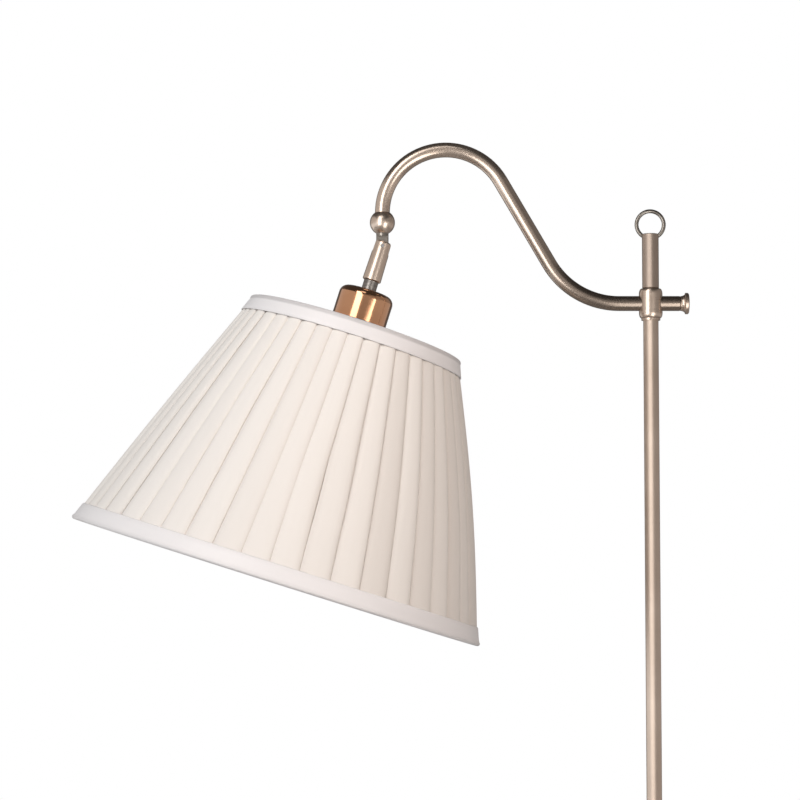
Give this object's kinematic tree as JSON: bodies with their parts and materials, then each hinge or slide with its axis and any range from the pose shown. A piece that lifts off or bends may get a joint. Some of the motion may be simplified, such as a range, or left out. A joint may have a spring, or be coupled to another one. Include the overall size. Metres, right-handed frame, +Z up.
{
  "type": "floor lamp",
  "caption": "Free-standing reading lamp: a swan-neck arm slides and swivels on a slim pole and carries a tilting pleated fabric shade over a weighted round base.",
  "frame": {"origin": "on the floor under the pole's axis, at the middle of the felt", "axes": "+Z up along the pole; the arm and shade reach towards -X at rest; +Y is the lamp's back, where the cord's outlet is"},
  "size_m": [0.6238, 0.3592, 1.4982],
  "materials": {
    "antique_brass": "satin antique brass, pinkish grey-brown, lacquered",
    "copper": "polished copper, lacquered",
    "steel": "turned steel",
    "iron": "rough casting",
    "felt": "pressed felt",
    "flex": "smooth sheath",
    "rubber_bush": "moulded",
    "holder_black": "moulded, fine grain",
    "porcelain": "unglazed white porcelain",
    "frame_wire": "white coated wire",
    "lining": "smooth fabric on a stiff backing",
    "pleated_cloth": "fine plain weave, knife pleated",
    "trim": "smooth folded band with a rolled bead",
    "bulb_metal": "rolled cap",
    "bulb_glass": "frosted glass"
  },
  "bodies": {
    "stand": {"base_felt": "felt", "base_weight": "iron", "base_cover": "antique_brass", "base_washer": "steel", "base_nut": "steel", "base_stud": "steel", "base_collar": "antique_brass", "pole_lower": "antique_brass", "pole_middle": "antique_brass", "pole_upper": "antique_brass", "pole_inserts": "steel", "joint_ring_lower": "antique_brass", "joint_ring_upper": "antique_brass", "joint_studs": "steel", "finial_sleeve": "antique_brass", "finial_ring": "antique_brass"},
    "slider": {"slider_bush": "antique_brass"},
    "arm": {"slider_collar": "antique_brass", "clamp_boss": "antique_brass", "arm_tube": "antique_brass", "arm_flex": "flex", "cord_outlet_bush": "rubber_bush", "arm_ball": "antique_brass", "knuckle_neck": "antique_brass"},
    "shoe": {"clamp_shoe": "steel"},
    "clamp": {"clamp_screw": "steel", "clamp_knob": "antique_brass"},
    "head": {"knuckle_pin": "steel", "forked_link": "antique_brass", "link_flex": "flex", "holder_nipple": "steel", "nipple_spacer": "steel", "nipple_locknut": "steel", "holder_cap": "copper", "holder_body": "holder_black", "holder_insert": "porcelain", "terminal_screws": "antique_brass", "screw_shell": "antique_brass", "centre_contact": "antique_brass", "shade_ring_upper": "holder_black", "shade_ring_lower": "holder_black", "shade_spider": "frame_wire", "shade_ribs": "frame_wire", "shade_bottom_wire": "frame_wire", "shade_lining": "lining", "shade_cover": "pleated_cloth", "shade_top_trim": "trim", "shade_bottom_trim": "trim", "bulb_cap": "bulb_metal", "bulb_glass": "bulb_glass"}
  },
  "joints": [
    {"name": "height_slide", "type": "slide", "parent": "stand", "child": "slider", "axis": [0, 0, 1], "range_m": [-0.42, 0]},
    {"name": "arm_swivel", "type": "hinge", "parent": "slider", "child": "arm", "pos_m": [0, 0, 1.36], "axis": [0, 0, 1], "continuous": true},
    {"name": "shade_tilt", "type": "hinge", "parent": "arm", "child": "head", "pos_m": [-0.22809, 0, 1.40875], "axis": [0, 1, 0], "range_deg": [-20, 50]},
    {"name": "clamp_advance", "type": "slide", "parent": "arm", "child": "shoe", "axis": [1, 0, 0], "range_m": [0, 0.001]},
    {"name": "clamp_turn", "type": "hinge", "parent": "shoe", "child": "clamp", "pos_m": [0.03, 0, 1.36], "axis": [1, 0, 0], "range_deg": [0, 360]}
  ],
  "couplings": [
    {"joint": "clamp_turn", "follows": "clamp_advance", "rad_per_m": 6283.2}
  ]
}
